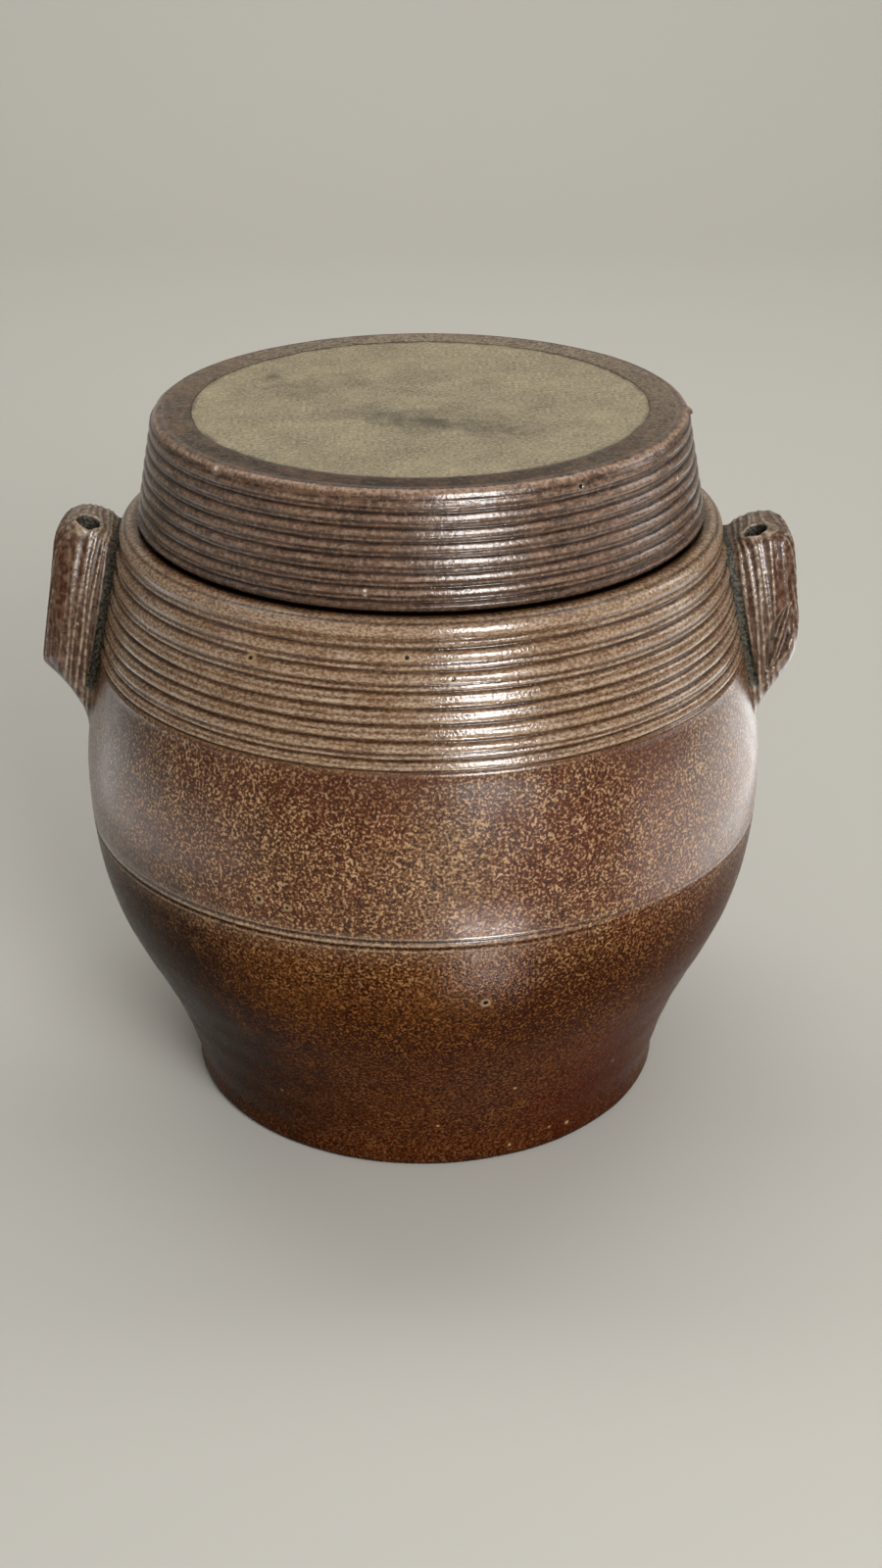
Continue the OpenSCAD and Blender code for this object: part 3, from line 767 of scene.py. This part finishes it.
def outline_distance(points, x, y):
    """Distance from a closed outline, below zero inside it."""
    nearest = np.full(np.broadcast(x, y).shape, np.inf)
    inside = np.zeros(nearest.shape, bool)
    for (ax, ay), (bx, by) in zip(points, np.roll(points, -1, axis=0)):
        ex, ey = bx - ax, by - ay
        t = np.clip(((x - ax) * ex + (y - ay) * ey) / (ex * ex + ey * ey + 1e-12), 0, 1)
        nearest = np.minimum(nearest, (x - ax - t * ex) ** 2 + (y - ay - t * ey) ** 2)
        crosses = (ay > y) != (by > y)
        inside ^= crosses & (x < ax + (y - ay) * ex / (ey if abs(ey) > 1e-9 else 1e-9))
    return np.where(inside, -1, 1) * np.sqrt(nearest)


def ear_outline():
    """An ear seen along the pot's side: crown, outer face, lower corner, and a tail ending on the wall."""
    crown = cubic([(0, -5), (EAR_REACH / 3, 0), (EAR_REACH, 0), (EAR_REACH, -EAR_CROWN_DROP)], 20)
    corner = arc((EAR_REACH - EAR_CORNER_R, EAR_CORNER_R - EAR_L), EAR_CORNER_R, 0, TAIL_LEAVES - 90, 8)
    tip = np.array([0, -EAR_L - EAR_TAIL])
    pull = np.linalg.norm(tip - corner[-1]) / 3
    leave, reach = (-np.array([math.cos(a), math.sin(a)]) for a in np.radians([TAIL_LEAVES, TAIL_LANDS]))
    tail = cubic([corner[-1], corner[-1] + pull * leave, tip - pull * reach, tip], 20)
    return np.vstack([[-12, -5], crown, corner, tail, [tip + reach * 14], [-12, -EAR_L - EAR_TAIL - 10]])


def rib_relief(u, v, w, outward, down, lines):
    """Height of the pulled ribs: by their distance from the pot on the sides, across the width outside."""
    clear = np.maximum((u - EAR_HOLE_U) ** 2 + (v - EAR_HOLE_V) ** 2, HOLE_BEND ** 2)
    round_hole = EAR_HOLE_U + (u - EAR_HOLE_U) * (1 - HOLE_BEND ** 2 / clear)
    side = sum(tall * np.exp(-((round_hole - at + 0.3 * np.sin(w / 8 + 2 * at)) / RIB_HALF) ** 2)
               for at, tall in lines)
    face = FACE_RIB * np.cos(v / FACE_STEP * 2 * math.pi)
    turn = np.clip((outward - 0.6) / 0.25, 0, 1)
    inner = np.clip((-outward - 0.5) / 0.25, 0, 1)
    return (side * (1 - turn) * (1 - inner) + face * turn) * np.clip((0.75 - down) / 0.3, 0, 1)


def skin(field, corner, cell):
    """Faces round the cells where a field changes sign, each point amid its cell's crossings."""
    sizes = np.array(field.shape) - 1
    corners = np.array([(i, j, k) for i in (0, 1) for j in (0, 1) for k in (0, 1)])
    at = [field[i:i + sizes[0], j:j + sizes[1], k:k + sizes[2]] for i, j, k in corners]
    below = sum((a < 0).astype(np.int8) for a in at)
    mixed = (below > 0) & (below < 8)
    cells = np.argwhere(mixed)
    value = np.stack([a[mixed] for a in at], 1)
    total = np.zeros((len(cells), 3))
    count = np.zeros((len(cells), 1))
    for a in range(8):
        for b in range(a + 1, 8):
            if np.abs(corners[a] - corners[b]).sum() != 1:
                continue
            cut = (value[:, a] < 0) != (value[:, b] < 0)
            t = np.where(cut, value[:, a] / np.where(cut, value[:, a] - value[:, b], 1), 0)[:, None]
            total += np.where(cut[:, None], corners[a] + t * (corners[b] - corners[a]), 0)
            count += cut[:, None]
    points = np.array(corner) + (cells + total / count) * cell
    number = np.full(sizes, -1)
    number[mixed] = np.arange(len(cells))
    faces = []
    for axis in range(3):
        one, two = (axis + 1) % 3, (axis + 2) % 3
        low = np.moveaxis(field, (axis, one, two), (0, 1, 2))
        index = np.moveaxis(number, (axis, one, two), (0, 1, 2))
        first, last = low[:-1, 1:-1, 1:-1] < 0, low[1:, 1:-1, 1:-1] < 0
        ring = [index[:, :-1, :-1], index[:, 1:, :-1], index[:, 1:, 1:], index[:, :-1, 1:]]
        for cut, order in ((first & ~last, (0, 1, 2, 3)), (~first & last, (3, 2, 1, 0))):
            faces.append(np.stack([ring[k][cut] for k in order], 1))
    return points, np.vstack(faces)


def gash_place(u, w, gash):
    """Where a point lies in a leaf-shaped gash, in half widths: how far off its middle, and which side."""
    (au, aw), (bu, bw), half = gash[:3]
    run = np.array([bu - au, bw - aw])
    length = math.hypot(*run)
    t = np.clip(((u - au) * run[0] + (w - aw) * run[1]) / length ** 2, 0, 1)
    off = np.hypot(u - au - t * run[0], w - aw - t * run[1])
    across = ((u - au) * run[1] - (w - aw) * run[0]) / length
    return off / (half * np.sin(math.pi * (0.06 + 0.88 * t))), across / half


def gash_depth(u, v, w, gash):
    """How deep a gash bites into an ear's front, on each side of the fold along it."""
    reach, across = gash_place(u, w, gash)
    fold = 1 - 0.7 * np.exp(-((across + 0.1) / 0.2) ** 2)
    return gash[3] * np.clip(1 - reach ** 2, 0, 1) * fold * (v < EAR_FRONT)


def past(line, u, w):
    """Distance past a straight cut, seen along the pot's side."""
    (au, aw), (bu, bw) = line
    length = math.hypot(bu - au, bw - aw)
    return ((w - aw) * (bu - au) - (u - au) * (bw - aw)) / length


def ear(name, side, lines, gash, cut, lean, sink, material):
    """A ribbed lug with a hole in its crown, held to the shoulder by a web between two gritty furrows."""
    axes = [np.arange(low, high, EAR_CELL) for low, high in zip(EAR_LOW, EAR_HIGH)]
    u, v, w = axes[0][:, None, None], axes[1][None, :, None], axes[2][None, None, :]
    # The lug: its outline, strap and crown, rounded into each other
    lift = EAR_LOW_R - np.sqrt(EAR_LOW_R ** 2 - np.minimum(np.abs(v), 20) ** 2)
    lowered = w - lift * np.clip((-20 - w) / 25, 0, 1)
    lowered = lowered + sink * np.clip((w + 30) / 25, 0, 1)
    leant = u - lean[0] * (w - lean[1])
    profile = outline_distance(ear_outline(), leant, lowered)
    bulge = np.hypot(leant - EAR_REACH + EAR_FACE_R - 1.2, v) - EAR_FACE_R
    strap = np.abs(v) - EAR_W / 2 + (leant - 8.5) ** 2 / 60 + np.maximum(w + 45, 0) ** 2 / 230
    strap = smooth_max(bulge, strap, 7)
    end = np.maximum(w + sink + EAR_CROWN_R, 0)
    tongue = np.hypot(v, end) - EAR_CROWN_R - 0.8
    lug = smooth_max(smooth_max(profile, strap, 3), tongue, 3)
    # Ribs on it, except where its corner is worn off
    slope = np.gradient(lug, EAR_CELL)
    steep = np.sqrt(sum(s * s for s in slope)) + 1e-9
    slope = [s / steep for s in slope]
    worn = np.clip(-past(cut, u, w) / 2, 0, 1)
    lug = lug - worn * rib_relief(leant, v, w, slope[0], -slope[2], lines)
    lug = lug + 0.25 * np.sin(w / 7 + side) * np.sin(v / 6 + u / 9)
    # The hole with its pinched-up rim, the furrows beside the web, the worn corner and the gash
    from_hole = np.hypot(u - EAR_HOLE_U, v - EAR_HOLE_V)
    lug = lug - 0.7 * np.exp(-((from_hole - EAR_HOLE_R - 1.0) / 0.9) ** 2) * (w > HOLE_TOP)
    lug = smooth_max(lug, EAR_HOLE_R - from_hole, 0.8)
    furrow = smooth_max(u - FURROW_U, WEB / 2 - np.abs(v), 2)
    furrow = smooth_max(furrow, np.abs(w - FURROW_MID) - FURROW_HALF, 3)
    lug = smooth_max(lug, -furrow, 1.6)
    lug = smooth_max(lug, past(cut, u, w), 3)
    lug = lug + gash_depth(u, v, w, gash)
    x = SHOULDER_R + u * LEAN_COS - w * LEAN_SIN
    z = LEDGE_Z + u * LEAN_SIN + w * LEAN_COS
    pot = (np.hypot(x, v) - outer_r(z)) * LEAN_COS
    # A fillet of clay joins the ear to the wall, and what would lie deep in the wall is left off
    body = smooth_min(lug, pot + 0.9, 4.0)
    body = np.maximum(np.maximum(body, -(pot + 3.0)), lug - 4.0)
    points, faces = skin(body, EAR_LOW, EAR_CELL)
    pu, pv, pw = points.T
    placed = np.column_stack([side * (SHOULDER_R + pu * LEAN_COS - pw * LEAN_SIN), pv,
                              LEDGE_Z + pu * LEAN_SIN + pw * LEAN_COS])
    if side < 0:
        faces = faces[:, ::-1]
    # The glaze is pale on the ribs and the hole's rim. The dark share is grit with painted shade in the
    # furrows, and painted shade in the grooves beside the ribs, the hole and the gash.
    leant = pu - lean[0] * (pw - lean[1])
    nearest = tuple(np.rint((points - np.array(EAR_LOW)) / EAR_CELL).astype(int).T)
    worn = np.clip(-past(cut, pu, pw) / 2 - 0.4, 0, 1)
    facing = slope[0][nearest], -slope[2][nearest]
    pale = worn * np.clip(rib_relief(leant, pv, pw, *facing, lines) / 0.35 - 0.35, 0, 1)
    # A line of painted shade on the pot's side of each rib
    groove = np.clip(rib_relief(leant + 0.95, pv, pw, *facing, lines) / 0.35 - 0.35, 0, 1)
    groove = worn * groove * (1 - pale)
    hole = np.hypot(pu - EAR_HOLE_U, pv - EAR_HOLE_V)
    pale = pale + np.exp(-((hole - EAR_HOLE_R - 0.9) / 0.6) ** 2) * (pw > HOLE_TOP)
    pale = pale + 0.35 * np.clip((pw + 8) / 4, 0, 1)
    # Grit in the furrows, darkened as painted shade
    dark = np.clip((FURROW_U + 1.0 - pu) / 0.8, 0, 1) * (pw < -3) * np.clip((pw + 54) / 2, 0, 1)
    # Painted shade inside the hole and in the grooves beside the ribs
    dark = dark + (hole < EAR_HOLE_R + 0.3) + 0.5 * groove
    reach, across = gash_place(pu, pw, gash)
    edge = np.exp(-((reach - 1) / 0.18) ** 2) + np.exp(-((across + 0.1) / 0.12) ** 2) * (reach < 0.9)
    pale = pale * (1 - 0.8 * (reach < 0.95) * (pv < EAR_FRONT)) + 0.4 * edge * (pv < EAR_FRONT)
    pale = pale + 0.7 * np.exp(-((pw + 53.5) / 0.9) ** 2) * (pu < 3) * (np.abs(pv) > 12)
    # Painted shade in the gash's hollow, on each side of its fold
    shade = np.clip(1 - reach ** 2, 0, 1) * (1 - np.exp(-((across + 0.1) / 0.2) ** 2))
    dark = dark + gash[4] * shade * (pv < EAR_FRONT) * (leant < EAR_REACH - 1.5)
    mesh = mesh_of(name, placed, faces, pale, dark)
    mesh.materials.append(material)
    piece = linked(name, mesh)
    smoother = piece.modifiers.new("worn", "SMOOTH")
    smoother.factor = 0.5
    smoother.iterations = 2
    return piece


# Below the incised lines the glaze is thinner: it shines less, and its peel stands out more. The lid's top
# ring is rubbed dull.
pot_glaze = salt_glaze_pot("salt_glazed_stoneware_upper", 0.36, 0.14)
low_glaze = salt_glaze_pot("salt_glazed_stoneware_lower", 0.03, 0.32)
lid_glaze = salt_glaze_lid("salt_glazed_stoneware_lid", 0.36, "#b0937c")
ring_glaze = salt_glaze_lid("salt_glazed_stoneware_ring", 0.08, "#a0927a")
disc = bare_disc()
ear_coat = ear_glaze()
inside = inner_glaze()
clay = bare_clay()

pot = turned("pot_thrown", pot_blocks(), (pot_glaze, inside, clay, low_glaze))
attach(pot, "pot")
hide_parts("pot_body")

lid = turned("lid_thrown", lid_blocks(), (lid_glaze, disc, clay, ring_glaze))
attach(lid, "lid")
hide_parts("lid")

# Ribs on the ears' sides: distance from the pot and height
LEFT_RIBS = ((2.4, 0.5), (4.3, 0.5), (6.2, 0.5), (8.0, 0.4), (9.8, 0.4), (11.6, 0.25), (15.5, 0.35),
             (17.2, 0.35))
RIGHT_RIBS = ((2.0, 0.45), (4.2, 0.5), (6.2, 0.5), (7.8, 0.4), (9.7, 0.4), (13.2, 0.3), (15.9, 0.4),
              (17.8, 0.35))
# A pit on the left ear and a gash on the right one: two ends in u and w, half width, depth, share of
# painted shade in its hollow
PIT = ((6.6, -30.8), (7.4, -31.2), 0.9, 1.0, 1.0)
GASH = ((15.2, -29.5), (5.0, -48.0), 4.4, 2.6, 0.4)
# The right ear's lower corner is worn off along a slant
WHOLE = ((40.0, 0.0), (40.0, -1.0))
WORN = ((18.2, -40.5), (11.2, -51.0))
# How each ear leans out, as a slope and the place on it that stays, and how far its crown sank
for name, node, side, lines, gash, cut, lean, sink in (
        ("ear_left", "left_ear", -1, LEFT_RIBS, PIT, WHOLE, (0.06, -25.0), 0.0),
        ("ear_right", "right_ear", 1, RIGHT_RIBS, GASH, WORN, (0.1, -35.0), 4.2)):
    lug = ear(name, side, lines, gash, cut, lean, sink, ear_coat)
    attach(lug, "pot")
    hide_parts(node)

# Camera at the photograph's viewing angle: 900 by 1600 frame, focal length 2300 of its pixels
FRAME_LONG = 1600
FOCAL = 2300
SENSOR = 36.0
EYE = (5.8, -672.9, 433.6)
LOOKS_DOWN = 26.49
ROLL = -0.31
camera = bpy.data.objects.new("camera", bpy.data.cameras.new("camera"))
camera.data.sensor_width = SENSOR
camera.data.lens = FOCAL / FRAME_LONG * SENSOR
camera.location = [place * MM for place in EYE]
pitch = math.radians(90 - LOOKS_DOWN)
roll = math.radians(ROLL)
camera.rotation_euler = (Matrix.Rotation(pitch, 3, "X") @ Matrix.Rotation(roll, 3, "Z")).to_euler()
bpy.context.scene.collection.objects.link(camera)
bpy.context.scene.camera = camera

# Pale floor that sweeps up into a backdrop, in metres: its front edge, the start and radius of the bend,
# its top and half its width
FRONT = -3.0
BEND_Y = 1.2
BEND_R = 0.8
TOP = 3.0
HALF = 3.5
sweep = [(FRONT, 0.0), (BEND_Y, 0.0)]
for a in np.radians(np.linspace(6, 90, 15)):
    sweep.append((BEND_Y + BEND_R * math.sin(a), BEND_R - BEND_R * math.cos(a)))
sweep.append((BEND_Y + BEND_R, TOP))
points = np.array([(x, y, z) for y, z in sweep for x in (-HALF, HALF)]) / MM
faces = np.array([(2 * i, 2 * i + 1, 2 * i + 3, 2 * i + 2) for i in range(len(sweep) - 1)])
floor = linked("floor", mesh_of("floor", points, faces, np.zeros(len(points)), np.zeros(len(points))))
paper, tree = new_material("matt_paper_backdrop")
shader = add(tree, "BsdfPrincipled",
             {"Base Color": linear("#cbc8c0"), "Roughness": 0.95, "Specular IOR Level": 0.0})
add(tree, "OutputMaterial", {"Surface": shader})
floor.data.materials.append(paper)

# Soft studio light: a main lamp to the right of the camera and one overhead for the backdrop. The others
# show only as reflections in the glaze: a bright card before the main lamp, one at the right, a small one
# by the foot and a low panel on each side. Each has its place, aim, width and height in metres, watts, and
# whether it lights more than reflections.
LAMPS = (("main", (0.44, -1.1, 0.62), (0, 0, 0.15), 0.5, 0.7, 13.0, True),
         ("overhead", (0, 0.5, 1.5), (0, 1.4, 0.1), 1.8, 0.6, 14.0, True),
         ("shine", (0.42, -1.05, 0.6), (0, 0, 0.15), 0.3, 0.6, 20.0, False),
         ("side", (0.9, 0.16, 0.5), (0, 0, 0.15), 0.25, 0.4, 2.6, False),
         ("low_card", (0.055, -0.185, 0.004), (0.022, -0.1, 0.088), 0.05, 0.04, 0.5, False),
         ("right_panel", (0.22, 0.06, 0.06), (0, 0.06, 0.06), 0.4, 0.12, 0.32, False),
         ("left_panel", (-0.28, -0.05, 0.045), (0, -0.05, 0.045), 0.4, 0.09, 0.12, False))
for name, spot, aim, wide, tall, watts, soft in LAMPS:
    lamp = bpy.data.objects.new(name, bpy.data.lights.new(name, "AREA"))
    lamp.data.shape = "RECTANGLE"
    lamp.data.size = wide
    lamp.data.size_y = tall
    lamp.data.energy = watts
    lamp.location = spot
    lamp.rotation_euler = (Vector(spot) - Vector(aim)).to_track_quat("Z", "Y").to_euler()
    lamp.visible_camera = False
    lamp.visible_diffuse = soft
    bpy.context.scene.collection.objects.link(lamp)
world = bpy.data.worlds.new("studio")
world.use_nodes = True
world.node_tree.nodes["Background"].inputs["Color"].default_value = linear("#eceae4")
world.node_tree.nodes["Background"].inputs["Strength"].default_value = 0.36
bpy.context.scene.world = world

bpy.context.scene.view_settings.view_transform = "Standard"
